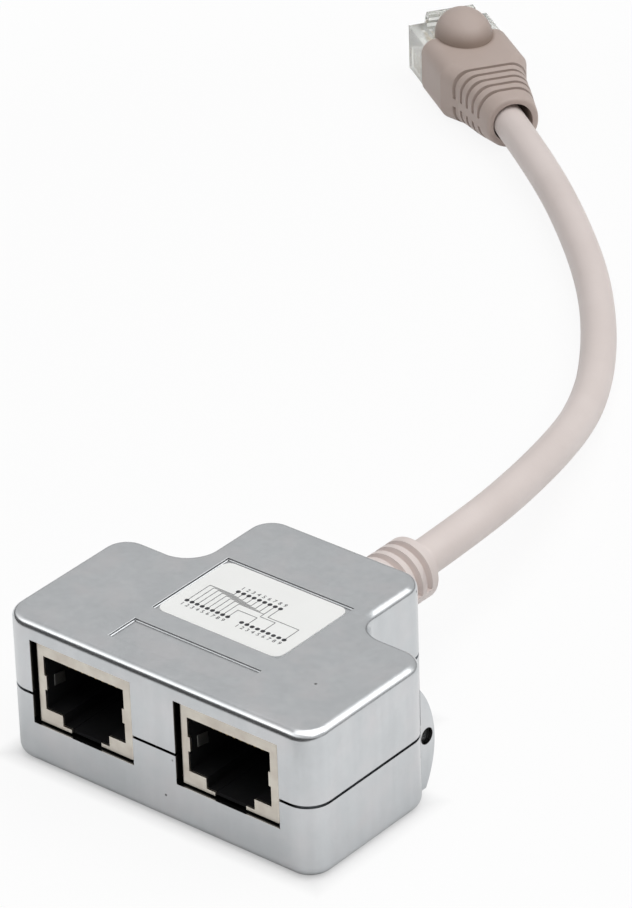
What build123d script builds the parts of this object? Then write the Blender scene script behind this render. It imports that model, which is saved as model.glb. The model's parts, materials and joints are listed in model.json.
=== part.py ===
import os
from math import cos, pi, radians, sin, tan

from build123d import *

os.makedirs("parts", exist_ok=True)

# A two-way network socket splitter: a T-shaped cast housing in two shells, two shielded sockets
# in its front, and a short cord out of its neck that ends in a booted plug.
# Millimetres. X runs along the front, Y from the front to the neck, Z is up, and the origin is
# at the bottom centre of the housing.

# Cast housing; its width, depths and height follow from what it holds
wall = 1.7
side_room = 3.2
head_room = 1.0
wing_back_room = 4.0
neck_length = 13.3
parting_height = 9.7
parting_gap = 0.38
parting_gap_depth = 1.1
corner_radius = 3.2
inner_corner_radius = 3.8
top_round = 1.0
foot_round = 1.6

# Recesses in the top
recess_depth = 0.3
recess_foot_round = 0.12
recess_rim_round = 0.08
label_recess_width = 18.6
label_recess_length = 13.4
label_recess_from_front = 10.9
label_margin = 0.3
label_shift = -0.15
label_thickness = 0.15
label_corner = 1.2
groove_recess_width = 18.6
groove_recess_length = 4.5
groove_recess_from_front = 3.4

# Tie lugs behind the wings
lug_thickness = 2.0
lug_inset = 1.75
lug_reach = 2.6
lug_arc_radius = 12.0
lug_arc_height = 7.0
lug_hole_radius = 1.0
lug_hole_height = 7.6
lug_hole_from_wing = 1.2
lug_foot = 0.8
lug_gap = 0.15

# Screws that join the shells
screw_radius = 1.2
screw_length = 12.0
screw_head_radius = 2.1
screw_head_height = 1.4
screw_head_sink = 0.6
screw_slot_width = 0.5
screw_clearance = 0.2
thread_clearance = 0.03
pilot_extra = 0.6
boss_radius = 2.6
boss_shoulder = 0.6
boss_overlap = 0.2
front_screw_from_front = 8.0
neck_screw_from_back = 8.2

# Circuit board
board_top = 6.05
board_thickness = 1.6
board_edge_gap = 0.3
board_hole_gap = 0.15
board_back_gap = 4.3
post_radius = 1.6
post_inset = 4.2
post_from_front = 8.0

# Sockets
socket_gap = 7.1
socket_shift = -0.25
shield_width = 14.3
shield_height = 10.55
shield_depth = 15.0
shield_sheet = 0.3
shield_set_back = 0.5
shield_bend = 0.35
window_side_gap = 0.39
window_foot_gap = 0.25
window_head_gap = 0.3
cavity_width = 11.98
cavity_height = 7.14
cavity_foot = 1.87
latch_wide = 7.0
latch_wide_depth = 1.4
latch_narrow = 4.5
latch_floor = 0.4
tooth_height = 1.9
tooth_drop = 2.6
tooth_reach = 0.3
leg_width = 1.2
leg_places = (4.0, 11.0)
jack_fit = 0.05

# Socket contacts and their carrier
contact_count = 8
contact_pitch = 1.02
contact_width = 0.34
contact_thickness = 0.32
contact_drop = 0.35
contact_nose_from_front = 2.0
contact_tip_from_front = 11.4
contact_tip_drop = 2.9
contact_bend = 0.5
contact_nose_height = 1.3
contact_tail_out = 0.5
carrier_from_front = 12.2
carrier_slot = 0.42
carrier_bend_room = 0.2
tail_hole_radius = 0.32

# Cord, its moulded gland and its wires
cable_radius = 2.35
sleeve_fit = 0.03
gland_height = 10.6
gland_neck_radius = 3.5
gland_wall_fit = 0.08
gland_face_fit = 0.05
gland_flange_radius = 5.2
gland_flange_thickness = 1.4
gland_radius = 4.0
gland_length = 11.75
gland_taper = 1.7
gland_tip_radius = 2.62
gland_flare = 0.1
gland_flare_length = 4.0
gland_ring_pitch = 1.8
gland_ring_count = 6
gland_groove_mouth = 1.0
gland_groove_floor = 0.44
gland_groove_depth = 0.75
gland_groove_from_end = 1.6
wire_radius = 0.38
wire_rows = 2
wire_start_pitch = 1.15
wire_pad_pitch = 1.3
wire_lead = 0.8
wire_fan = 2.6
wire_drop = 3.2
wire_run = 2.6
wire_boss_gap = 0.37

# The cord's route, chosen by hand: out of the neck, down to the surface, and round to the plug
cord_points = [
    (0, 13.75, 10.6),
    (0, 38.23, 10.6),
    (-5.81, 61.79, 7.06),
    (-14.87, 83.92, 2.35),
    (-25.72, 100.74, 2.35),
    (-38.91, 115.31, 2.9),
    (-59.47, 131.87, 4.3),
    (-81.47, 146.29, 4.3),
]
turn_share = 0.45

# Boot on the plug
boot_length = 21.3
boot_width = 12.8
boot_height = 8.6
boot_corner = 2.2
boot_taper = 12.6
boot_waist = 9.0
boot_waist_width = 10.1
boot_waist_height = 8.2
boot_waist_corner = 2.6
boot_neck = 4.5
boot_neck_width = 8.8
boot_neck_height = 8.0
boot_neck_corner = 2.9
boot_collar = 7.5
boot_collar_corner = 3.7
boot_bore_radius = 2.9
cord_lean = 0.25
boot_front_round = 0.45
boot_rear_round = 0.5
boot_groove_count = 5
boot_groove_pitch = 1.75
boot_groove_first = 9.8
boot_groove_width = 0.65
boot_groove_depth = 0.5
boot_rib_height = 1.2
boot_rib_drop = 0.5
bulb_half_length = 5.0
bulb_radius = 4.0
bulb_from_front = 0.3
bulb_sink = 0.3
bulb_wall = 0.7
bulb_mouth_from_middle = 1.0
bulb_mouth_gap = 0.2

# Modular plug
plug_width = 11.68
plug_height = 6.6
plug_out = 7.3
plug_length = 16.0
plug_corner = 0.35
plug_fit = 0.08
jacket_in_plug = 2.0
entry_width = 9.6
entry_height = 5.3
entry_length = 5.6
wire_slot_height = 1.2
wire_slot_drop = 0.9
wire_settle = 0.2
blade_width = 0.35
blade_length = 3.6
blade_height = 2.9
blade_from_tip = 0.6
blade_sink = 0.15
blade_gap = 0.05
plug_wall_tip = 1.6
latch_width = 7.0
latch_tail_width = 3.2
latch_thickness = 0.9
latch_rise = 2.2
latch_slope = 1.0
latch_step = 2.5
latch_reach = 10.2

# Places that follow from the sizes
socket_pitch = shield_width + socket_gap
body_width = socket_pitch + shield_width + 2 * (side_room + wall)
wing_depth = shield_set_back + shield_depth + wing_back_room + wall
body_height = board_top + shield_height + head_room + wall
boss_x = (contact_count - 1) / 2 * wire_pad_pitch + wire_radius + wire_boss_gap + boss_radius
neck_width = 2 * (boss_x + boss_radius - boss_overlap + wall)
body_depth = wing_depth + neck_length
front = -body_depth / 2
back = body_depth / 2
wing_back = front + wing_depth
seam_low = parting_height - parting_gap / 2
seam_high = parting_height + parting_gap / 2
roof = body_height - wall
screw_top = screw_head_sink + screw_head_height + screw_length
screw_places = [
    (0, front + front_screw_from_front),
    (-boss_x, back - neck_screw_from_back),
    (boss_x, back - neck_screw_from_back),
]
board_low = board_top - board_thickness
post_x = body_width / 2 - post_inset
post_places = [(x, y) for x in (-post_x, post_x) for y in (front + post_from_front, wing_back - post_inset)]
socket_places = {"left": socket_shift - socket_pitch / 2, "right": socket_shift + socket_pitch / 2}
shield_front = front + shield_set_back
shield_back = shield_front + shield_depth
shield_top = board_top + shield_height
jack_back = shield_back - shield_sheet - jack_fit
cavity_low = board_top + cavity_foot
cavity_top = cavity_low + cavity_height
contact_top = cavity_top - contact_drop
contact_back = jack_back - 0.2
contact_row = [(i - (contact_count - 1) / 2) * contact_pitch for i in range(contact_count)]
carrier_front = front + carrier_from_front
wire_columns = contact_count / wire_rows
gland_end = back + gland_length
front_plane = Plane.XZ.offset(-front)
gland_axis = Axis((0, 0, gland_height), (0, 1, 0))


# Plan of the housing: two wings and a neck
with BuildSketch() as plan:
    with BuildLine():
        half_outline = FilletPolyline(
            (0, front),
            (body_width / 2, front),
            (body_width / 2, wing_back),
            (neck_width / 2, wing_back),
            (neck_width / 2, back),
            (0, back),
            radius=(corner_radius, corner_radius, inner_corner_radius, corner_radius),
        )
        mirror(half_outline, about=Plane.YZ)
    make_face()


def plan_inset(inset):
    """The housing's plan, drawn in all round."""
    with BuildSketch() as smaller:
        add(plan.sketch)
        offset(amount=-inset)
    return smaller.sketch


def window_outline():
    """The two windows in the front wall, each as wide as a shield and its gaps."""
    low = board_top - window_foot_gap
    high = shield_top + window_head_gap
    with BuildSketch(front_plane) as windows:
        with Locations(*[(x, low) for x in socket_places.values()]):
            Rectangle(shield_width + 2 * window_side_gap, high - low, align=(Align.CENTER, Align.MIN))
    return windows.sketch


def socket_outline(x, floor, teeth):
    """The mouth of a socket: the plug's opening over two steps for the latch."""
    with BuildSketch(front_plane) as mouth:
        with Locations((x, cavity_low)):
            Rectangle(cavity_width, cavity_height, align=(Align.CENTER, Align.MIN))
            Rectangle(latch_wide, latch_wide_depth, align=(Align.CENTER, Align.MAX))
            Rectangle(latch_narrow, cavity_low - floor, align=(Align.CENTER, Align.MAX))
        if teeth:
            with Locations(*[(x + side * cavity_width / 2, cavity_top - tooth_drop) for side in (-1, 1)]):
                Rectangle(
                    2 * tooth_reach,
                    tooth_height,
                    align=(Align.CENTER, Align.MAX),
                    mode=Mode.SUBTRACT,
                )
    return mouth.sketch


# Upper shell of the casting
with BuildPart() as upper_shell:
    with BuildSketch(Plane.XY.offset(seam_high)):
        add(plan.sketch)
    extrude(amount=body_height - seam_high)
    fillet(upper_shell.faces().sort_by(Axis.Z)[-1].edges(), top_round)
    with BuildSketch(Plane.XY.offset(seam_high)):
        add(plan_inset(wall))
    extrude(amount=roof - seam_high, mode=Mode.SUBTRACT)
    # Bosses from the roof to the seam, with pilot holes for the screws
    with BuildSketch(Plane.XY.offset(seam_high)):
        with Locations(*screw_places):
            Circle(boss_radius)
    extrude(amount=roof - seam_high)
    with BuildSketch(Plane.XY.offset(seam_high)):
        with Locations(*screw_places):
            Circle(screw_radius + thread_clearance)
    extrude(amount=screw_top + pilot_extra - seam_high, mode=Mode.SUBTRACT)
    # Windows for the sockets and a hole for the gland
    with BuildSketch(front_plane):
        add(window_outline())
    extrude(amount=-wall, mode=Mode.SUBTRACT)
    with BuildSketch(Plane.XZ.offset(-back)):
        with Locations((0, gland_height)):
            Circle(gland_neck_radius + gland_wall_fit)
    extrude(amount=wall, mode=Mode.SUBTRACT)
    # Shallow recesses in the top, one for the label and an empty one in front of it
    with BuildPart(mode=Mode.PRIVATE) as recesses:
        with BuildSketch(Plane.XY.offset(body_height - recess_depth)):
            with Locations((0, front + label_recess_from_front)):
                Rectangle(label_recess_width, label_recess_length, align=(Align.CENTER, Align.MIN))
            with Locations((0, front + groove_recess_from_front)):
                Rectangle(groove_recess_width, groove_recess_length, align=(Align.CENTER, Align.MIN))
        extrude(amount=2 * recess_depth)
        fillet(recesses.faces().group_by(Axis.Z)[0].edges(), recess_foot_round)
    add(recesses.part, mode=Mode.SUBTRACT)
    top_face = upper_shell.faces().filter_by(Axis.Z).sort_by(Axis.Z)[-1]
    fillet([edge for rim in top_face.inner_wires() for edge in rim.edges()], recess_rim_round)
upper_shell.part.label = "upper_shell"

# Lower shell of the casting, with the tie lugs
with BuildPart() as lower_shell:
    with BuildSketch():
        add(plan.sketch)
    extrude(amount=seam_low)
    fillet(lower_shell.faces().sort_by(Axis.Z)[0].edges(), foot_round)
    with BuildSketch(Plane.XY.offset(wall)):
        add(plan_inset(wall))
    extrude(amount=seam_low - wall, mode=Mode.SUBTRACT)
    # A lip inside the seam carries the upper shell and leaves the gap that shows outside
    with BuildSketch(Plane.XY.offset(seam_low)):
        add(plan_inset(parting_gap_depth))
        add(plan_inset(wall), mode=Mode.SUBTRACT)
    extrude(amount=parting_gap)
    # Screw bosses with a shoulder under the board, and posts under its corners
    with BuildSketch(Plane.XY.offset(wall)):
        with Locations(*screw_places):
            Circle(boss_radius + boss_shoulder)
        with Locations(*post_places):
            Circle(post_radius)
    extrude(amount=board_low - wall)
    with BuildSketch(Plane.XY.offset(board_low)):
        with Locations(*screw_places):
            Circle(boss_radius)
    extrude(amount=seam_high - board_low)
    # Tie lugs, each a flat ear with a round back edge
    for side in (-1, 1):
        lug_outer = side * (body_width / 2 - lug_inset)
        with BuildSketch(Plane.YZ.offset(lug_outer)):
            with Locations((wing_back + lug_reach - lug_arc_radius, lug_arc_height)):
                Circle(lug_arc_radius)
            with Locations((wing_back - wall / 2, lug_foot)):
                Rectangle(
                    lug_arc_radius,
                    2 * lug_arc_radius,
                    align=(Align.MIN, Align.MIN),
                    mode=Mode.INTERSECT,
                )
            with Locations((wing_back + lug_gap, seam_low)):
                Rectangle(
                    lug_arc_radius,
                    2 * lug_arc_radius,
                    align=(Align.MAX, Align.MIN),
                    mode=Mode.SUBTRACT,
                )
            with Locations((wing_back + lug_hole_from_wing, lug_hole_height)):
                Circle(lug_hole_radius, mode=Mode.SUBTRACT)
        extrude(amount=-side * lug_thickness)
    # Screw holes with sunk seats for the heads
    with BuildSketch():
        with Locations(*screw_places):
            Circle(screw_radius + screw_clearance)
    extrude(amount=seam_high, mode=Mode.SUBTRACT)
    with BuildSketch():
        with Locations(*screw_places):
            Circle(screw_head_radius + screw_clearance)
    extrude(amount=screw_head_sink + screw_head_height, mode=Mode.SUBTRACT)
    with BuildSketch(front_plane):
        add(window_outline())
    extrude(amount=-wall, mode=Mode.SUBTRACT)
    with BuildSketch(Plane.XZ.offset(-back)):
        with Locations((0, gland_height)):
            Circle(gland_neck_radius + gland_wall_fit)
    extrude(amount=wall, mode=Mode.SUBTRACT)
lower_shell.part.label = "lower_shell"

# Screws, pan heads down, in the sunk seats
with BuildPart() as housing_screws:
    with BuildSketch(Plane.XY.offset(screw_head_sink)):
        with Locations(*screw_places):
            Circle(screw_head_radius)
    extrude(amount=screw_head_height)
    with BuildSketch(Plane.XY.offset(screw_head_sink + screw_head_height)):
        with Locations(*screw_places):
            Circle(screw_radius)
    extrude(amount=screw_length)
    with BuildSketch(Plane.XY.offset(screw_head_sink)):
        with Locations(*screw_places):
            Rectangle(screw_head_radius * 1.2, screw_slot_width)
            Rectangle(screw_slot_width, screw_head_radius * 1.2)
    extrude(amount=screw_head_height / 2, mode=Mode.SUBTRACT)
housing_screws.part.label = "housing_screws"

# Paper label in its recess
with BuildPart() as label:
    with BuildSketch(Plane.XY.offset(body_height - recess_depth)):
        with Locations((0, front + label_recess_from_front + label_recess_length / 2 + label_shift)):
            RectangleRounded(
                label_recess_width - 2 * label_margin,
                label_recess_length - 2 * label_margin,
                label_corner,
            )
    extrude(amount=label_thickness)
label.part.label = "label"

# Circuit board that carries both sockets and the cord's wires
with BuildPart() as circuit_board:
    with BuildSketch(Plane.XY.offset(board_low)):
        add(plan_inset(wall + board_edge_gap))
        with Locations((0, back)):
            Rectangle(
                neck_width,
                board_back_gap,
                align=(Align.CENTER, Align.MAX),
                mode=Mode.SUBTRACT,
            )
        with Locations(*screw_places):
            Circle(boss_radius + board_hole_gap, mode=Mode.SUBTRACT)
        for x in socket_places.values():
            tail_y = contact_back - contact_thickness / 2
            with Locations(*[(x + pin, tail_y) for pin in contact_row]):
                Circle(tail_hole_radius, mode=Mode.SUBTRACT)
            leg_x = (shield_width - shield_sheet) / 2
            leg_spots = [(x + s * leg_x, shield_front + y) for s in (-1, 1) for y in leg_places]
            with Locations(*leg_spots):
                Rectangle(
                    shield_sheet + 2 * board_hole_gap,
                    leg_width + 2 * board_hole_gap,
                    mode=Mode.SUBTRACT,
                )
    extrude(amount=board_thickness)
circuit_board.part.label = "circuit_board"


def make_shield(x):
    """A socket's folded sheet cover, open underneath, with legs through the board."""
    with BuildPart() as shield:
        with BuildSketch(Plane.XY.offset(board_top)):
            with Locations((x, shield_front)):
                Rectangle(shield_width, shield_depth, align=(Align.CENTER, Align.MIN))
        extrude(amount=shield_height)
        fillet(shield.edges().filter_by(Axis.Z), shield_bend)
        with BuildSketch(Plane.XY.offset(board_top)):
            with Locations((x, shield_front + shield_sheet)):
                Rectangle(
                    shield_width - 2 * shield_sheet,
                    shield_depth - 2 * shield_sheet,
                    align=(Align.CENTER, Align.MIN),
                )
        extrude(amount=shield_height - shield_sheet, mode=Mode.SUBTRACT)
        with BuildSketch(front_plane):
            add(socket_outline(x, board_top, teeth=True))
        extrude(amount=-shield_set_back - shield_sheet, mode=Mode.SUBTRACT)
        with BuildSketch(Plane.XY.offset(board_top)):
            leg_x = (shield_width - shield_sheet) / 2
            with Locations(*[(x + s * leg_x, shield_front + y) for s in (-1, 1) for y in leg_places]):
                Rectangle(shield_sheet, leg_width)
        extrude(amount=-board_thickness - contact_tail_out)
    return shield.part


def make_jack_body(x):
    """A socket's moulded body: a sleeve with the plug's cavity through it."""
    body_front = shield_front + shield_sheet
    with BuildPart() as jack_body:
        with BuildSketch(Plane.XY.offset(board_top)):
            with Locations((x, body_front)):
                Rectangle(
                    shield_width - 2 * shield_sheet - 2 * jack_fit,
                    jack_back - body_front,
                    align=(Align.CENTER, Align.MIN),
                )
        extrude(amount=shield_height - shield_sheet - jack_fit)
        with BuildSketch(front_plane):
            add(socket_outline(x, board_top + latch_floor, teeth=False))
        extrude(amount=front - jack_back, mode=Mode.SUBTRACT)
        # Slot in the floor for the contact tails
        with BuildSketch(Plane.XY.offset(board_top)):
            with Locations((x, jack_back)):
                Rectangle(
                    contact_pitch * contact_count,
                    jack_back - contact_back + 2 * contact_thickness,
                    align=(Align.CENTER, Align.MAX),
                )
        extrude(amount=cavity_foot, mode=Mode.SUBTRACT)
    return jack_body.part


def make_carrier(x):
    """The block behind the cavity that holds the contacts in eight slots."""
    with BuildPart() as carrier:
        with BuildSketch(Plane.XY.offset(cavity_low)):
            with Locations((x, carrier_front)):
                Rectangle(
                    cavity_width - 2 * jack_fit,
                    jack_back - carrier_front,
                    align=(Align.CENTER, Align.MIN),
                )
        extrude(amount=cavity_height - jack_fit)
        with BuildSketch(Plane.XY.offset(contact_top - contact_thickness)):
            with Locations(*[(x + pin, carrier_front) for pin in contact_row]):
                Rectangle(carrier_slot, jack_back - carrier_front, align=(Align.CENTER, Align.MIN))
        extrude(amount=cavity_height, mode=Mode.SUBTRACT)
        with BuildSketch(Plane.XY.offset(cavity_low)):
            with Locations(*[(x + pin, jack_back) for pin in contact_row]):
                Rectangle(
                    carrier_slot,
                    jack_back - contact_back + contact_thickness + carrier_bend_room,
                    align=(Align.CENTER, Align.MAX),
                )
        extrude(amount=cavity_height, mode=Mode.SUBTRACT)
    return carrier.part


def make_contacts(x):
    """Eight spring strips: up from the board, forward over the cavity and folded back into it."""
    with BuildPart() as contacts:
        for pin in contact_row:
            with BuildSketch(Plane.YZ.offset(x + pin)):
                with BuildLine():
                    FilletPolyline(
                        (contact_back, board_low - contact_tail_out),
                        (contact_back, contact_top),
                        (front + contact_nose_from_front, contact_top),
                        (front + contact_nose_from_front, contact_top - contact_nose_height),
                        (front + contact_tip_from_front, cavity_top - contact_tip_drop),
                        radius=contact_bend,
                    )
                    offset(amount=contact_thickness, side=Side.RIGHT)
                make_face()
            extrude(amount=contact_width / 2, both=True)
    return contacts.part


socket_pieces = {
    "jack_shield": make_shield,
    "jack_body": make_jack_body,
    "contact_carrier": make_carrier,
    "jack_contacts": make_contacts,
}
sockets = {f"{kind}_{side}": make(x) for kind, make in socket_pieces.items() for side, x in socket_places.items()}
for name, piece in sockets.items():
    piece.label = name

# Gland moulded round the cord: a flange inside the wall, a ribbed barrel outside and a taper
with BuildPart() as strain_relief:
    wall_inside = back - wall - gland_face_fit
    wall_outside = back + gland_face_fit
    barrel_end = gland_end
    bore = gland_height + cable_radius + sleeve_fit
    with BuildSketch(Plane.YZ):
        with BuildLine():
            Polyline(
                (barrel_end + gland_taper, bore + gland_flare),
                (barrel_end + gland_taper - gland_flare_length, bore),
                (wall_inside - gland_flange_thickness, bore),
                (wall_inside - gland_flange_thickness, gland_height + gland_flange_radius),
                (wall_inside, gland_height + gland_flange_radius),
                (wall_inside, gland_height + gland_neck_radius),
                (wall_outside, gland_height + gland_neck_radius),
                (wall_outside, gland_height + gland_radius),
                (barrel_end, gland_height + gland_radius),
            )
            ThreePointArc(
                (barrel_end, gland_height + gland_radius),
                (
                    barrel_end + 0.22 * gland_taper,
                    gland_height + gland_tip_radius + 0.3 * (gland_radius - gland_tip_radius),
                ),
                (barrel_end + gland_taper, gland_height + gland_tip_radius),
            )
            Line(
                (barrel_end + gland_taper, gland_height + gland_tip_radius),
                (barrel_end + gland_taper, bore + gland_flare),
            )
        make_face()
    revolve(axis=gland_axis)
    # Ring grooves over the top and the bottom, which stop at a web on each side
    groove_places = [
        (barrel_end - gland_groove_from_end - k * gland_ring_pitch, gland_radius) for k in range(gland_ring_count)
    ]
    for start, sweep_angle in ((195, 210), (-40, 100)):
        turn = radians(start)
        groove_plane = Plane(
            origin=(0, 0, gland_height),
            x_dir=(0, 1, 0),
            z_dir=(sin(turn), 0, -cos(turn)),
        )
        with BuildSketch(groove_plane):
            with Locations(*groove_places):
                Polygon(
                    (-gland_groove_floor / 2, -gland_groove_depth),
                    (gland_groove_floor / 2, -gland_groove_depth),
                    (gland_groove_mouth - gland_groove_floor / 2, gland_groove_depth),
                    (gland_groove_floor / 2 - gland_groove_mouth, gland_groove_depth),
                    align=None,
                )
        revolve(axis=gland_axis, revolution_arc=sweep_angle, mode=Mode.SUBTRACT)
strain_relief.part.label = "strain_relief"


def turn_radii(points):
    """The largest arc for each turn of a route, as a share of its shorter run."""
    radii = []
    for before, corner, after in zip(points, points[1:], points[2:]):
        run_in = Vector(*corner) - Vector(*before)
        run_out = Vector(*after) - Vector(*corner)
        turn = radians(run_in.get_angle(run_out))
        radii.append(turn_share * min(run_in.length, run_out.length) / tan(turn / 2))
    return radii


# Cord
cord_radii = turn_radii(cord_points)
with BuildPart() as cable:
    with BuildLine() as cord_line:
        FilletPolyline(*cord_points, radius=cord_radii)
    with BuildSketch(Plane(cord_line.line @ 0, z_dir=cord_line.line % 0)):
        Circle(cable_radius)
    sweep()
cable.part.label = "cable"
cord_length = sum(edge.length for edge in cord_line.edges())
print("cord radii", [round(r, 1) for r in cord_radii])
print("cord length", round(cord_length, 1), "volume", round(cable.part.volume, 1))
print("section times length", round(pi * cable_radius**2 * cord_length, 1))

# Wires from the cord's end down to the board
with BuildPart() as board_wires:
    cord_start = Vector(*cord_points[0])
    for i, pad in enumerate(contact_row):
        start_x = (i // wire_rows - (wire_columns - 1) / 2) * wire_start_pitch
        start_z = cord_start.Z + (i % wire_rows - (wire_rows - 1) / 2) * wire_start_pitch
        pad_x = pad / contact_pitch * wire_pad_pitch
        wire_z = board_top + wire_radius + sleeve_fit
        wire_y = cord_start.Y - wire_lead
        wire_points = [
            (start_x, cord_start.Y - sleeve_fit, start_z),
            (start_x, wire_y, start_z),
            (pad_x, wire_y - wire_fan, start_z),
            (pad_x, wire_y - wire_fan - wire_drop, wire_z),
            (pad_x, wire_y - wire_fan - wire_drop - wire_run, wire_z),
        ]
        with BuildLine() as wire_line:
            Polyline(*wire_points)
        with BuildSketch(Plane(wire_line.line @ 0, z_dir=wire_line.line % 0)):
            Circle(wire_radius)
        sweep(path=wire_line.line, transition=Transition.RIGHT)
board_wires.part.label = "board_wires"

# Frame of the plug: its axis follows the cord's last run
cord_tip = Vector(*cord_points[-1])
plug_dir = (cord_tip - Vector(*cord_points[-2])).normalized()
plug_side = Vector(0, 0, 1).cross(plug_dir)
plug_tip = boot_length + plug_out
plug_rear = plug_tip - plug_length
jacket_in_boot = plug_rear + jacket_in_plug
boot_exit = cord_tip - plug_dir * jacket_in_boot - plug_side * cord_lean


def across(distance):
    """A plane square to the plug's axis, that far from the cord's exit out of the boot."""
    return Plane(origin=boot_exit + plug_dir * distance, x_dir=plug_side, z_dir=plug_dir)


def along(distance=0.0, height=0.0):
    """The upright plane through the plug's axis, with x towards the tip and y up."""
    return Plane(
        origin=boot_exit + plug_dir * distance + Vector(0, 0, height),
        x_dir=plug_dir,
        z_dir=-plug_side,
    )


boot_sections = [
    (0.0, boot_collar, boot_collar, boot_collar_corner),
    (boot_neck, boot_neck_width, boot_neck_height, boot_neck_corner),
    (boot_waist, boot_waist_width, boot_waist_height, boot_waist_corner),
    (boot_taper, boot_width, boot_height, boot_corner),
]


def boot_size(distance, column):
    """A size of the tapered end at a distance, in line between the sections next to it."""
    for before, after in zip(boot_sections, boot_sections[1:]):
        if distance <= after[0]:
            break
    share = (distance - before[0]) / (after[0] - before[0])
    return before[column] + share * (after[column] - before[column])


def spheroid(half_length, radius):
    """The bulb's solid of revolution, long way along the plug."""
    with BuildPart() as bulb:
        middle = along(boot_length - bulb_from_front, boot_height / 2 - bulb_sink)
        with BuildSketch(middle):
            Ellipse(half_length, radius)
            with Locations((0, 0)):
                Rectangle(
                    2 * half_length,
                    radius,
                    align=(Align.CENTER, Align.MAX),
                    mode=Mode.SUBTRACT,
                )
        revolve(axis=Axis(middle.origin, plug_dir))
    return bulb.part


# Hollow of the bulb, over the boot's top
boot_top = boot_exit.Z + boot_height / 2
with BuildPart() as bulb_hollow:
    add(spheroid(bulb_half_length - bulb_wall, bulb_radius - bulb_wall))
    split(bisect_by=Plane.XY.offset(boot_top), keep=Keep.TOP)

# Boot: a tapered sleeve with ring grooves, a straight front and a bulb over the latch
with BuildPart() as plug_boot:
    for distance, width, height, corner in boot_sections:
        with BuildSketch(across(distance)):
            RectangleRounded(width, height, corner)
    loft(ruled=True)
    with BuildSketch(across(boot_taper)):
        RectangleRounded(boot_width, boot_height, boot_corner)
    extrude(amount=boot_length - boot_taper)
    boot_ends = plug_boot.faces().sort_by(Axis(boot_exit, plug_dir))
    fillet(boot_ends[-1].edges(), boot_front_round)
    fillet(boot_ends[0].edges(), boot_rear_round)
    for k in range(boot_groove_count):
        place = boot_groove_first - k * boot_groove_pitch
        groove_width = boot_size(place, 1) - 2 * boot_groove_depth
        groove_height = boot_size(place, 2) - 2 * boot_groove_depth
        groove_corner = min(boot_size(place, 3), groove_height / 2 - 0.05)
        with BuildSketch(across(place - boot_groove_width / 2)):
            Rectangle(2 * boot_width, 2 * boot_width)
            RectangleRounded(groove_width, groove_height, groove_corner, mode=Mode.SUBTRACT)
            with Locations((0, -boot_rib_drop)):
                Rectangle(2 * boot_width, boot_rib_height, mode=Mode.SUBTRACT)
        extrude(amount=boot_groove_width, mode=Mode.SUBTRACT)
    add(spheroid(bulb_half_length, bulb_radius))
    add(bulb_hollow.part, mode=Mode.SUBTRACT)
    # Mouth of the bulb for the latch
    mouth_top = plug_height / 2 + latch_rise + bulb_mouth_gap
    with BuildSketch(across(boot_length - bulb_from_front + bulb_mouth_from_middle)):
        with Locations((0, boot_height / 2)):
            Rectangle(
                latch_tail_width + 2 * bulb_mouth_gap,
                mouth_top - boot_height / 2,
                align=(Align.CENTER, Align.MIN),
            )
    extrude(amount=bulb_half_length, mode=Mode.SUBTRACT)
    # Pocket for the plug and bore for the cord
    with BuildSketch(across(plug_rear - plug_fit)):
        Rectangle(plug_width + 2 * plug_fit, plug_height + 2 * plug_fit)
    extrude(amount=plug_length, mode=Mode.SUBTRACT)
    with BuildSketch(across(0)):
        Circle(boot_bore_radius)
    extrude(amount=plug_rear, mode=Mode.SUBTRACT)
plug_boot.part.label = "plug_boot"

# Clear plug with its latch in one piece
with BuildPart() as plug_body:
    with BuildSketch(across(plug_rear)):
        Rectangle(plug_width, plug_height)
    extrude(amount=plug_length)
    fillet(plug_body.faces().sort_by(Axis(boot_exit, plug_dir))[-1].edges(), plug_corner)
    # Latch: a strip that rises from the tip and runs back under the bulb
    latch_top = plug_height / 2 + latch_rise
    latch_root = plug_tip - plug_corner
    slope_end = latch_root - latch_slope
    with BuildSketch(along()):
        with BuildLine():
            Polyline(
                (latch_root, plug_height / 2 - latch_thickness),
                (latch_root, plug_height / 2),
                (slope_end, latch_top),
                (plug_tip - latch_step, latch_top),
                (plug_tip - latch_step, latch_top - latch_thickness),
                (slope_end + latch_thickness / 3, latch_top - latch_thickness),
                (latch_root - 2 * latch_thickness, plug_height / 2 - latch_thickness),
                close=True,
            )
        make_face()
    extrude(amount=latch_width / 2, both=True)
    with BuildSketch(along()):
        with Locations((plug_tip - latch_reach, latch_top)):
            Rectangle(
                latch_reach - latch_step,
                latch_thickness,
                align=(Align.MIN, Align.MAX),
            )
    extrude(amount=latch_tail_width / 2, both=True)
    # Entry for the cord, a slot for the wires and slots for the blades
    with BuildSketch(across(plug_rear)):
        Rectangle(entry_width, entry_height)
    extrude(amount=entry_length, mode=Mode.SUBTRACT)
    with BuildSketch(across(plug_rear + entry_length)):
        with Locations((0, -wire_slot_drop)):
            Rectangle(contact_pitch * contact_count, wire_slot_height)
    extrude(amount=plug_length - entry_length - plug_wall_tip, mode=Mode.SUBTRACT)
    blade_end = plug_tip - blade_from_tip
    blade_start = blade_end - blade_length
    with BuildSketch(across(blade_start - blade_gap)):
        with Locations(*[(pin, -plug_height / 2) for pin in contact_row]):
            Rectangle(
                blade_width + 2 * blade_gap,
                blade_sink + blade_height + blade_gap,
                align=(Align.CENTER, Align.MIN),
            )
    extrude(amount=plug_tip - blade_start + blade_gap, mode=Mode.SUBTRACT)
plug_body.part.label = "plug_body"

# Gold blades in the plug's lower slots
with BuildPart() as plug_contacts:
    with BuildSketch(across(blade_start)):
        with Locations(*[(pin, blade_sink - plug_height / 2) for pin in contact_row]):
            Rectangle(blade_width, blade_height, align=(Align.CENTER, Align.MIN))
    extrude(amount=blade_length)
plug_contacts.part.label = "plug_contacts"

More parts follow.
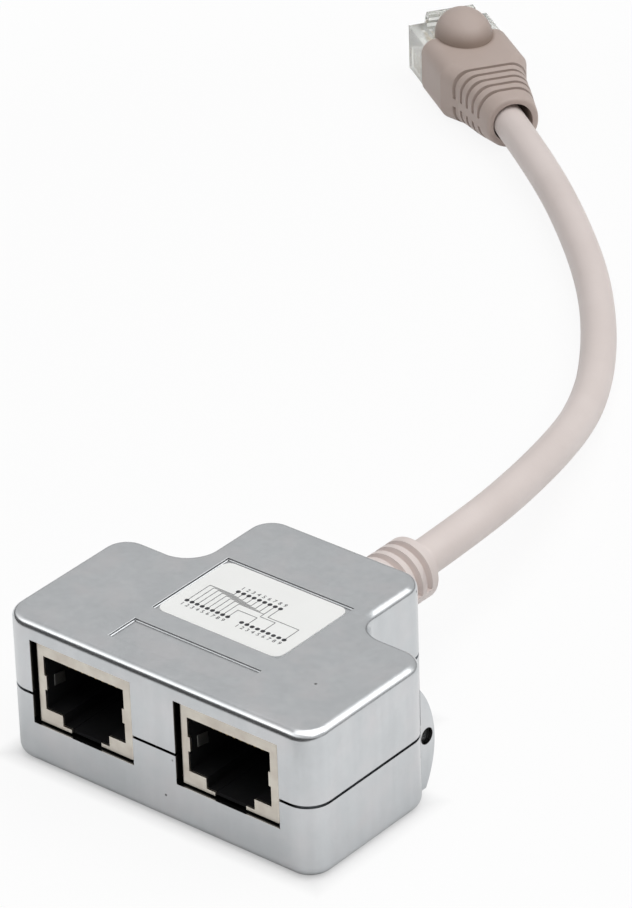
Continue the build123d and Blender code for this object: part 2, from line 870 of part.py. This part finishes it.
# Wires inside the plug, from the cord's end to the blades
with BuildPart() as plug_wires:
    jacket_end = across(jacket_in_boot)
    for i, pin in enumerate(contact_row):
        start_x = (i // wire_rows - (wire_columns - 1) / 2) * wire_start_pitch + cord_lean
        start_z = (i % wire_rows - (wire_rows - 1) / 2) * wire_start_pitch
        row_start = plug_rear + entry_length - jacket_in_boot
        row_end = blade_start - blade_gap - jacket_in_boot
        wire_points = [
            jacket_end.from_local_coords((start_x, start_z, sleeve_fit)),
            jacket_end.from_local_coords((start_x, start_z, row_start * 0.15)),
            jacket_end.from_local_coords((pin, start_z, row_start * 0.6)),
            jacket_end.from_local_coords((pin, -wire_slot_drop, row_start - wire_settle)),
            jacket_end.from_local_coords((pin, -wire_slot_drop, row_end)),
        ]
        with BuildLine() as wire_line:
            Polyline(*wire_points)
        with BuildSketch(Plane(wire_line.line @ 0, z_dir=wire_line.line % 0)):
            Circle(wire_radius)
        sweep(path=wire_line.line, transition=Transition.RIGHT)
plug_wires.part.label = "plug_wires"

pieces = [
    upper_shell.part,
    lower_shell.part,
    housing_screws.part,
    label.part,
    circuit_board.part,
    *sockets.values(),
    strain_relief.part,
    cable.part,
    board_wires.part,
    plug_boot.part,
    plug_body.part,
    plug_contacts.part,
    plug_wires.part,
]
for piece in pieces:
    export_step(piece, f"parts/{piece.label}.step")
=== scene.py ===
import json
from math import atan2, hypot, radians

import bpy
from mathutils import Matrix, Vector


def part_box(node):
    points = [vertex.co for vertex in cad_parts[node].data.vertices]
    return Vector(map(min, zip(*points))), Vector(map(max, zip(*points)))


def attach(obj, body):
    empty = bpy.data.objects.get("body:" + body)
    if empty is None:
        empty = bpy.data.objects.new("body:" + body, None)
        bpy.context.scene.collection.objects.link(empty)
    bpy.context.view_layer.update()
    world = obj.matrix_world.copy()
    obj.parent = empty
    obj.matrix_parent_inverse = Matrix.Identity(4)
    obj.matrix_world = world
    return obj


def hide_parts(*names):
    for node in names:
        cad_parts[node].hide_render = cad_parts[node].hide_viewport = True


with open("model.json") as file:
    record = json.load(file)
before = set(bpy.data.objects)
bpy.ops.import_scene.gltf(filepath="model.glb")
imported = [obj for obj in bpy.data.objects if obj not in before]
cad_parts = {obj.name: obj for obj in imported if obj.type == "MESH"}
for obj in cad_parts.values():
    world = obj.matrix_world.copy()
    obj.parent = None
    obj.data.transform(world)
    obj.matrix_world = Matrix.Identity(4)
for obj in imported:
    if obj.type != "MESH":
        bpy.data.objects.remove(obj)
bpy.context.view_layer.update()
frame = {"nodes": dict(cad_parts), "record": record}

MM = 0.001
scene = bpy.context.scene
scene.view_settings.view_transform = "Standard"

# Measures of the part that the finishes and the floor go by, in mm
wing_half_width, wing_half_depth, wing_middle_y = 22.75, 10.6, -6.65
neck_half_width, case_half_depth = 12.0, 17.25
lug_hole_y, lug_hole_z, lug_hole_rim = 5.15, 7.6, 1.08
bulb_half_length, bulb_half_width = 5.0, 4.0
bulb_x, bulb_y = -86.69, 150.01
boot_top = 8.6
plug_heading_x, plug_heading_y = -0.8364, 0.5482


# Camera at the photograph's angle
camera_data = bpy.data.cameras.new("camera")
camera = bpy.data.objects.new("camera", camera_data)
scene.collection.objects.link(camera)
camera.location = (0.345347, -0.395394, 0.342202)
camera.rotation_euler = (radians(60.0147), radians(1.688), radians(39.3453))
camera_data.lens = 215.664
camera_data.sensor_width = 36
camera_data.shift_x = 0.00456
camera_data.shift_y = -0.0022
camera_data.clip_start = 0.01
camera_data.clip_end = 20
scene.camera = camera


def connect(tree, socket, value):
    """Links an output to a socket, or sets the socket to a constant."""
    if isinstance(value, Wire):
        tree.links.new(value.socket, socket)
    else:
        socket.default_value = value


class Wire:
    """A node output that takes part in sums, so that a material reads as a formula."""

    def __init__(self, tree, socket):
        self.tree = tree
        self.socket = socket

    def _math(self, operation, *values):
        node = self.tree.nodes.new("ShaderNodeMath")
        node.operation = operation
        for slot, value in zip(node.inputs, values):
            connect(self.tree, slot, value)
        return Wire(self.tree, node.outputs[0])

    def __add__(self, other):
        return self._math("ADD", self, other)

    def __sub__(self, other):
        return self._math("SUBTRACT", self, other)

    def __rsub__(self, other):
        return self._math("SUBTRACT", other, self)

    def __mul__(self, other):
        return self._math("MULTIPLY", self, other)

    def __truediv__(self, other):
        return self._math("DIVIDE", self, other)

    def power(self, other):
        return self._math("POWER", self, other)

    def greater(self, other):
        return self._math("MAXIMUM", self, other)

    def lesser(self, other):
        return self._math("MINIMUM", self, other)

    def size(self):
        return self._math("ABSOLUTE", self)

    def clamp(self):
        node = self.tree.nodes.new("ShaderNodeClamp")
        connect(self.tree, node.inputs[0], self)
        return Wire(self.tree, node.outputs[0])


def length(a, b):
    """The length of a flat vector from its two parts."""
    return (a.power(2) + b.power(2)).power(0.5)


class Nodes:
    """A node tree with one way to add a node."""

    def __init__(self, tree):
        self.tree = tree

    def node(self, kind, output=0, settings=None, **inputs):
        """Adds a node with its settings and inputs, named, or numbered as i0, i1 and so on."""
        node = self.tree.nodes.new("ShaderNode" + kind)
        for key, value in (settings or {}).items():
            setattr(node, key, value)
        for key, value in inputs.items():
            slot = node.inputs[int(key[1:])] if key[1:].isdigit() else node.inputs[key]
            connect(self.tree, slot, value)
        return Wire(self.tree, node.outputs[output])

    def ray(self, kind):
        """1 for the rays of a kind, 0 for the others."""
        return self.node("LightPath", f"Is {kind} Ray")

    def parts(self, vector):
        """The three parts of a vector."""
        node = self.tree.nodes.new("ShaderNodeSeparateXYZ")
        connect(self.tree, node.inputs[0], vector)
        return [Wire(self.tree, output) for output in node.outputs]


class Material(Nodes):
    """A Principled material with a few short ways to vary it."""

    def __init__(self, name, **sockets):
        self.data = bpy.data.materials.new(name)
        self.data.use_nodes = True
        super().__init__(self.data.node_tree)
        self.shader = self.tree.nodes["Principled BSDF"]
        for socket, value in sockets.items():
            self.set(socket.replace("_", " ").title().replace("Ior", "IOR"), value)

    def set(self, socket, value):
        connect(self.tree, self.shader.inputs[socket], value)

    def place(self):
        return self.node("TexCoord", "Object")

    def axes(self):
        """The place along X, Y and Z, in metres."""
        return self.parts(self.place())

    def noise(self, scale, detail=3.0, stretch=(1, 1, 1)):
        where = self.node("Mapping", Vector=self.place(), Scale=stretch)
        return self.node("TexNoise", "Fac", Vector=where, Scale=scale, Detail=detail)

    def cells(self, scale):
        return self.node("TexVoronoi", "Distance", Vector=self.place(), Scale=scale)

    def ramp(self, fac, low, high):
        """Maps a factor from low..high to 0..1."""
        return self.node("MapRange", i0=fac, i1=low, i2=high)

    def blend(self, fac, a, b):
        """A colour from a to b."""
        return self.node(
            "Mix",
            2,
            {"data_type": "RGBA"},
            i0=fac,
            i6=(*a, 1) if isinstance(a, tuple) else a,
            i7=(*b, 1) if isinstance(b, tuple) else b,
        )

    def bump(self, height, strength, distance):
        self.set("Normal", self.node("Bump", Height=height, Strength=strength, Distance=distance))


def mottled(name, dark, light, scale, rough, bump_scale, bump_depth, **sockets):
    """A moulded or cast surface: faint cloudy colour, uneven gloss and a fine grain."""
    material = Material(name, **sockets)
    cloud = material.noise(scale)
    material.colour = material.blend(material.ramp(cloud, 0.3, 0.7), dark, light)
    material.set("Base Color", material.colour)
    gloss = material.ramp(material.noise(scale * 3), 0.2, 0.8)
    material.set("Roughness", gloss * (rough[1] - rough[0]) + rough[0])
    material.bump(material.noise(bump_scale, 4.0), 1.0, bump_depth)
    return material


# Plated casting: satin bright metal with cloudy gloss, a fine grain and a few dark pits
plated = Material("plated", metallic=1.0)
cloud = plated.ramp(plated.noise(110, 4.0), 0.3, 0.7)
pits = plated.ramp(plated.cells(260), 0.055, 0.035) * plated.ramp(plated.noise(170), 0.56, 0.6)
skin = plated.blend(cloud, (0.62, 0.64, 0.655), (0.67, 0.69, 0.705))
fine_flecks = plated.ramp(plated.noise(1900, 2.0), 0.3, 0.7)
broad_flecks = plated.ramp(plated.noise(520, 3.0), 0.35, 0.65)
skin = plated.blend((fine_flecks * 0.5 + broad_flecks * 0.5) * 0.13, skin, (0.4, 0.41, 0.42))
streaks = plated.ramp(plated.noise(900, 2.0, stretch=(1, 1, 0.08)), 0.35, 0.65)
skin = plated.blend(streaks * 0.12, skin, (0.45, 0.46, 0.48))
blush = plated.ramp(plated.noise(210, 2.0), 0.45, 0.7)
skin = plated.blend(blush * 0.4, skin, (0.68, 0.66, 0.67))
skin = plated.blend(pits, skin, (0.12, 0.12, 0.12))
along, across, up = plated.axes()


def near(value, middle, reach):
    """1 where a place is within reach of the middle, 0 elsewhere, in mm."""
    soft_edge = 0.02
    return plated.ramp((value - middle * MM).size(), (reach + soft_edge) * MM, (reach - soft_edge) * MM)


def block(x, y, z):
    """1 inside a block, 0 outside it, from its middle and its reach along each axis, in mm."""
    return near(along, *x) * near(across, *y) * near(up, *z)


# Painted shade in hollows: the steep sides of the two recesses in the top, of the windows in the
# front and of the holes in the lugs are painted near black
recess_sides = block(x=(0, 9.8), y=(-3.4, 10.8), z=(19.19, 0.08))
window_sides = block(x=(0, 19.2), y=(-16.35, 0.84), z=(10.5, 7.2))
from_hole = length(across - lug_hole_y * MM, up - lug_hole_z * MM)
hole_sides = plated.ramp(from_hole, lug_hole_rim * MM, (lug_hole_rim - 0.04) * MM)
hole_sides = hole_sides * near(along.size(), 20.7, 2.0)
hollow_shade = (recess_sides + window_sides + hole_sides).clamp()
# Painted shade: these sides take a near-black colour in place of the metal's skin
plated.set("Base Color", plated.blend(hollow_shade, skin, (0.10, 0.10, 0.10)))
plated.set("Roughness", plated.ramp(plated.noise(320, 4.0), 0.25, 0.75) * 0.07 + 0.20)
grain = plated.noise(1500, 5.0) * 0.6 + plated.noise(300, 3.0) * 0.9
plated.bump(grain, 0.6, 0.02 * MM)

steel = mottled(
    "screw_steel", (0.4, 0.4, 0.38), (0.5, 0.5, 0.48), 400, (0.3, 0.4), 3000, 0.01 * MM, metallic=1.0
)
nickel = mottled(
    "shield_nickel", (0.66, 0.60, 0.53), (0.78, 0.74, 0.66), 420, (0.3, 0.42), 2500, 0.01 * MM, metallic=1.0
)
gold = mottled(
    "contact_gold", (0.45, 0.31, 0.13), (0.55, 0.38, 0.16), 500, (0.2, 0.3), 4000, 0.005 * MM, metallic=1.0
)
black = mottled(
    "jack_moulding", (0.004, 0.004, 0.0045), (0.007, 0.007, 0.008), 300, (0.6, 0.75), 3500, 0.01 * MM,
    specular_ior_level=0.2,
)
board = mottled(
    "board_laminate", (0.01, 0.06, 0.03), (0.015, 0.09, 0.045), 200, (0.35, 0.45), 2500, 0.01 * MM
)
cord_pvc = mottled("cord_pvc", (0.69, 0.61, 0.58), (0.74, 0.66, 0.63), 90, (0.38, 0.48), 1800, 0.01 * MM)
boot_pvc = mottled(
    "boot_pvc", (0.455, 0.37, 0.33), (0.505, 0.415, 0.375), 90, (0.45, 0.55), 1500, 0.02 * MM
)
paper = mottled(
    "label_paper", (0.88, 0.885, 0.87), (0.91, 0.915, 0.90), 150, (0.42, 0.5), 2500, 0.004 * MM
)
ink = mottled("label_ink", (0.02, 0.02, 0.025), (0.04, 0.04, 0.045), 900, (0.5, 0.6), 2500, 0.002 * MM)
insulation = mottled(
    "wire_insulation", (0.55, 0.5, 0.42), (0.62, 0.57, 0.5), 300, (0.4, 0.5), 2000, 0.005 * MM
)

# Painted shade: the boot is darker round the foot of its bulb
along, across, up = boot_pvc.axes()
from_x, from_y = along - bulb_x * MM, across - bulb_y * MM
lengthwise = (from_x * plug_heading_x + from_y * plug_heading_y) / (bulb_half_length * MM)
sideways = (from_y * plug_heading_x - from_x * plug_heading_y) / (bulb_half_width * MM)
bulb_foot_shade = boot_pvc.ramp(length(lengthwise, sideways), 1.1, 0.97)
bulb_foot_shade = bulb_foot_shade * boot_pvc.ramp(up, (boot_top + 2.4) * MM, (boot_top + 0.4) * MM)
# Painted shade round the bulb's foot, mixed into the boot's colour
boot_pvc.set("Base Color", boot_pvc.blend(bulb_foot_shade * 0.7, boot_pvc.colour, (0.22, 0.155, 0.115)))

clear = Material("plug_clear", base_color=(0.93, 0.94, 0.91, 1), transmission_weight=0.8, ior=1.5)
clear.set("Roughness", clear.ramp(clear.noise(300), 0.2, 0.8) * 0.06 + 0.16)
clear.bump(clear.noise(900, 2.0), 0.3, 0.01 * MM)

finishes = {
    "plated_case": plated,
    "screw_steel": steel,
    "label_paper": paper,
    "board_laminate": board,
    "shield_sheet": nickel,
    "jack_moulding": black,
    "contact_gold": gold,
    "cord_pvc": cord_pvc,
    "boot_pvc": boot_pvc,
    "wire_insulation": insulation,
    "plug_clear": clear,
}
for part in frame["record"]["subparts"]:
    node = frame["nodes"][part["node"]]
    node.data.materials.clear()
    node.data.materials.append(finishes[part["material_slot"]].data)


def to_piece(obj, material, body="root"):
    """Gives a new piece its finish and lets it ride on the part."""
    obj.data.materials.clear()
    obj.data.materials.append(material.data)
    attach(obj, body)
    return obj


def join(objects, name):
    """Joins objects into one at the origin, with its place in the mesh."""
    bpy.ops.object.select_all(action="DESELECT")
    for obj in objects:
        obj.select_set(True)
    bpy.context.view_layer.objects.active = objects[0]
    bpy.ops.object.join()
    joined = bpy.context.object
    joined.name = name
    bpy.ops.object.transform_apply(location=True, rotation=True, scale=True)
    return joined


# Cord, on the same points as the part's source, in mm
cord_radius = 2.35
cord_points = [
    (0, 13.75, 10.6),
    (0, 38.23, 10.6),
    (-5.81, 61.79, 7.06),
    (-14.87, 83.92, 2.35),
    (-25.72, 100.74, 2.35),
    (-38.91, 115.31, 2.9),
    (-59.47, 131.87, 4.3),
    (-81.47, 146.29, 4.3),
]
curve = bpy.data.curves.new("cord_sheath", "CURVE")
curve.dimensions = "3D"
spline = curve.splines.new("NURBS")
spline.points.add(len(cord_points) - 1)
for point, place in zip(spline.points, cord_points):
    point.co = (*[value * MM for value in place], 1)
spline.order_u = 3
spline.use_endpoint_u = True
spline.resolution_u = 16
curve.bevel_depth = cord_radius * MM
curve.bevel_resolution = 8
curve.use_fill_caps = True
sheath = bpy.data.objects.new("cord_sheath", curve)
scene.collection.objects.link(sheath)
to_piece(sheath, cord_pvc)
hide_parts("cable")

# Grounding springs of the shields: a sheet tongue on each side wall of each socket's cavity, that
# leans in from its root near the front; from the middle and the front of the shield, in mm
root_from_middle, tip_from_middle = 6.0, 5.68
root_from_front, tip_from_front = 1.6, 3.1
spring_middle_z, spring_thickness, spring_height = 11.05, 0.12, 1.55
springs = []
for shield in ("jack_shield_left", "jack_shield_right"):
    shield_low, shield_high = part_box(shield)
    middle_x, front_y = (shield_low[0] + shield_high[0]) / 2, shield_low[1]
    for side in (-1, 1):
        root_x, tip_x = (middle_x + side * reach * MM for reach in (root_from_middle, tip_from_middle))
        root_y, tip_y = (front_y + reach * MM for reach in (root_from_front, tip_from_front))
        bpy.ops.mesh.primitive_cube_add(
            size=1,
            location=((root_x + tip_x) / 2, (root_y + tip_y) / 2, spring_middle_z * MM),
            rotation=(0, 0, atan2(tip_y - root_y, tip_x - root_x)),
        )
        spring = bpy.context.object
        spring.scale = (hypot(tip_x - root_x, tip_y - root_y), spring_thickness * MM, spring_height * MM)
        springs.append(spring)
shield_springs = join(springs, "shield_springs")
rounding = shield_springs.modifiers.new("rounding", "BEVEL")
rounding.width = 0.04 * MM
rounding.segments = 2
bpy.ops.object.modifier_apply(modifier=rounding.name)
to_piece(shield_springs, steel)

# Print on the label: three rows of dots, their numbers and the lines between them, all in mm
# from the middle of the label
label_low, label_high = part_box("label")
print_x = (label_low[0] + label_high[0]) / 2
print_y = (label_low[1] + label_high[1]) / 2 + 0.1 * MM
print_z = label_high[2] + 0.004 * MM
dot_radius, line_width, numeral_size, numeral_step = 0.29, 0.08, 0.85, 0.85
row_size = 9
strokes = []


def dot_row(first_x, pitch, y):
    return [(first_x + k * pitch, y) for k in range(row_size)]


def label_place(x, y):
    return (print_x + x * MM, print_y + y * MM, print_z)


def keep_stroke():
    """Adds the object just made to the print, and lets go of it."""
    stroke = bpy.context.object
    strokes.append(stroke)
    stroke.select_set(False)
    return stroke


def draw_line(a, b):
    """A thin straight line from a to b."""
    dx, dy = b[0] - a[0], b[1] - a[1]
    bpy.ops.mesh.primitive_plane_add(
        size=1,
        location=label_place((a[0] + b[0]) / 2, (a[1] + b[1]) / 2),
        rotation=(0, 0, atan2(dy, dx)),
    )
    keep_stroke().scale = (hypot(dx, dy) * MM, line_width * MM, 1)


def draw_track(start, end, level):
    """Three lines: from the start to a level, along it, and on to the end."""
    corners = [start, (start[0], level), (end[0], level), end]
    for a, b in zip(corners, corners[1:]):
        draw_line(a, b)


def draw_number(number, x, y):
    """One numeral, made a mesh."""
    bpy.ops.object.text_add(location=label_place(x, y))
    numeral = bpy.context.object
    numeral.data.body = str(number)
    numeral.data.size = numeral_size * MM
    numeral.data.align_x = "CENTER"
    numeral.data.align_y = "CENTER"
    numeral.data.resolution_u = 2
    bpy.ops.object.convert(target="MESH")
    keep_stroke()


left_row = dot_row(-7.2, 0.756, -3.07)
upper_row = dot_row(-3.67, 0.78, 1.82)
right_row = dot_row(0.9, 0.779, -3.07)
bpy.ops.object.select_all(action="DESELECT")
bpy.ops.mesh.primitive_circle_add(
    vertices=14, radius=dot_radius * MM, fill_type="NGON", location=label_place(*left_row[0])
)
first_dot = keep_stroke()
for x, y in [*left_row[1:], *upper_row, *right_row]:
    first_dot.select_set(True)
    bpy.context.view_layer.objects.active = first_dot
    bpy.ops.object.duplicate()
    bpy.context.object.location = label_place(x, y)
    keep_stroke()
    first_dot.select_set(False)
for row, step in ((left_row, -numeral_step), (upper_row, numeral_step), (right_row, -numeral_step)):
    for k, (x, y) in enumerate(row):
        draw_number(k + 1, x, y + step)

# Lines from the left row to the upper row, nested, and from the right row to the other two
for k, (start, end) in enumerate(zip(left_row[:-1], upper_row[:-1])):
    draw_track(start, end, 1.0 - 0.17 * k)
draw_track(left_row[-1], right_row[1], -1.26)
draw_track(upper_row[-1], right_row[-1], -0.44)
draw_track(upper_row[-2], right_row[4], -0.85)

label_print = join(strokes, "label_print")
thickness = label_print.modifiers.new("thickness", "SOLIDIFY")
thickness.thickness = 0.012 * MM
thickness.offset = 1
bpy.ops.object.modifier_apply(modifier=thickness.name)
to_piece(label_print, ink)
bpy.ops.object.select_all(action="DESELECT")

# Floor: near white to the camera, with the part's soft shadow left on it. What the metal mirrors of it
# is a painted reflection: dark close to the case as painted shade at its foot, bright round the part,
# brighter behind its front, and dark further off in front.
bpy.ops.mesh.primitive_plane_add(size=6, location=(0, 0, 0))
floor = bpy.context.object
floor.name = "floor"
floor_paint = Material("floor_paint", roughness=0.9)
through = floor_paint.ray("Transmission")
seen = floor_paint.ray("Camera").greater(through)
mirrored = floor_paint.ray("Glossy") * (1 - through)
along, across, up = floor_paint.axes()
from_wings = (along.size() - wing_half_width * MM).greater(
    (across - wing_middle_y * MM).size() - wing_half_depth * MM
)
from_neck = (along.size() - neck_half_width * MM).greater(across.size() - case_half_depth * MM)
clear_of_case = from_wings.lesser(from_neck)
# Close to the case less of the floor is whitened, so the shadow at its foot shows deeper: partly real
# shadow, partly painted shadow
foot_shadow_deepening = floor_paint.ramp(clear_of_case, 1.8 * MM, -0.6 * MM)
open_floor = floor_paint.ramp(clear_of_case, 0, 14 * MM)
far_in_front = floor_paint.ramp(across, -43 * MM, -62 * MM) * mirrored
behind_front = floor_paint.ramp(across, -20 * MM, 0)
from_part = floor_paint.node(
    "VectorMath", 1, {"operation": "DISTANCE"}, i0=floor_paint.place(), i1=(-35 * MM, 70 * MM, 0)
)
away = floor_paint.ramp(from_part, 100 * MM, 190 * MM)
# Painted reflection: to the metal, the floor is dark close to the case and far off in front
dim = (far_in_front + (1 - open_floor) * mirrored * 0.1).clamp()
floor_paint.set("Base Color", floor_paint.blend(dim, (0.85, 0.85, 0.85), (0.03, 0.03, 0.03)))
# Painted shadow: the floor is less white close to the case
seen_white = 0.9 - foot_shadow_deepening * 0.45 + away * 0.1
mirrored_white = (1 - far_in_front) * open_floor * (behind_front * 0.32 + 0.48)
surface = floor_paint.node(
    "MixShader",
    i0=seen * seen_white + mirrored * mirrored_white,
    i1=Wire(floor_paint.tree, floor_paint.shader.outputs[0]),
    i2=floor_paint.node("Emission", Color=(1, 1, 1, 1), Strength=1.0),
)
connect(floor_paint.tree, floor_paint.tree.nodes["Material Output"].inputs[0], surface)
floor.data.materials.append(floor_paint.data)


def lamp(name, place, target, size, power):
    """A soft square lamp that looks at a target."""
    data = bpy.data.lights.new(name, "AREA")
    data.shape = "SQUARE"
    data.size = size
    data.energy = power
    lamp_object = bpy.data.objects.new(name, data)
    scene.collection.objects.link(lamp_object)
    lamp_object.location = place
    lamp_object.rotation_euler = (Vector(target) - Vector(place)).to_track_quat("-Z", "Y").to_euler()


# The overhead lamp stands to the right, where the case's front edge doesn't mirror it
lamp("overhead", (0.25, 0.12, 0.95), (0.05, 0.08, 0), 1.5, 11.6)
lamp("side", (0.6, 0.6, 0.6), (0, 0, 0), 0.5, 0.6)
lamp("front", (-0.55, -0.7, 0.65), (0, 0.05, 0), 0.6, 0.4)

# World: plain white light. What the metal mirrors of it has a dim horizon, that stands higher in
# front, is brightest to the front left and dims again towards the zenith.
diffuse_level = 0.22
horizon_level, sky_level, front_left_level = 0.10, 0.55, 1.7
zenith_dimming = 0.8
world = bpy.data.worlds.new("world")
scene.world = world
world.use_nodes = True
sky = Nodes(world.node_tree)
background = world.node_tree.nodes["Background"]
background.inputs["Color"].default_value = (1, 1, 1, 1)
east, north, height = sky.parts(sky.node("TexCoord", "Generated"))
white_ray = sky.ray("Camera").greater(sky.ray("Transmission"))
glossy_ray = sky.ray("Glossy")
in_front = (north * -1.3).clamp()
front_left = (east * -0.57 - north * 0.82).clamp()
horizon = front_left * 0.24 + in_front * 0.1 + 0.05
above_horizon = ((height - horizon) / 0.12).clamp()
zenith = ((height - 0.8) / 0.1).clamp()
brightness = (front_left.power(3) * front_left_level + sky_level) * (1 - zenith * zenith_dimming)
reflected = above_horizon * brightness + horizon_level
strength = glossy_ray * reflected + (1 - glossy_ray) * diffuse_level
strength = white_ray + (1 - white_ray) * strength
connect(sky.tree, background.inputs["Strength"], strength)
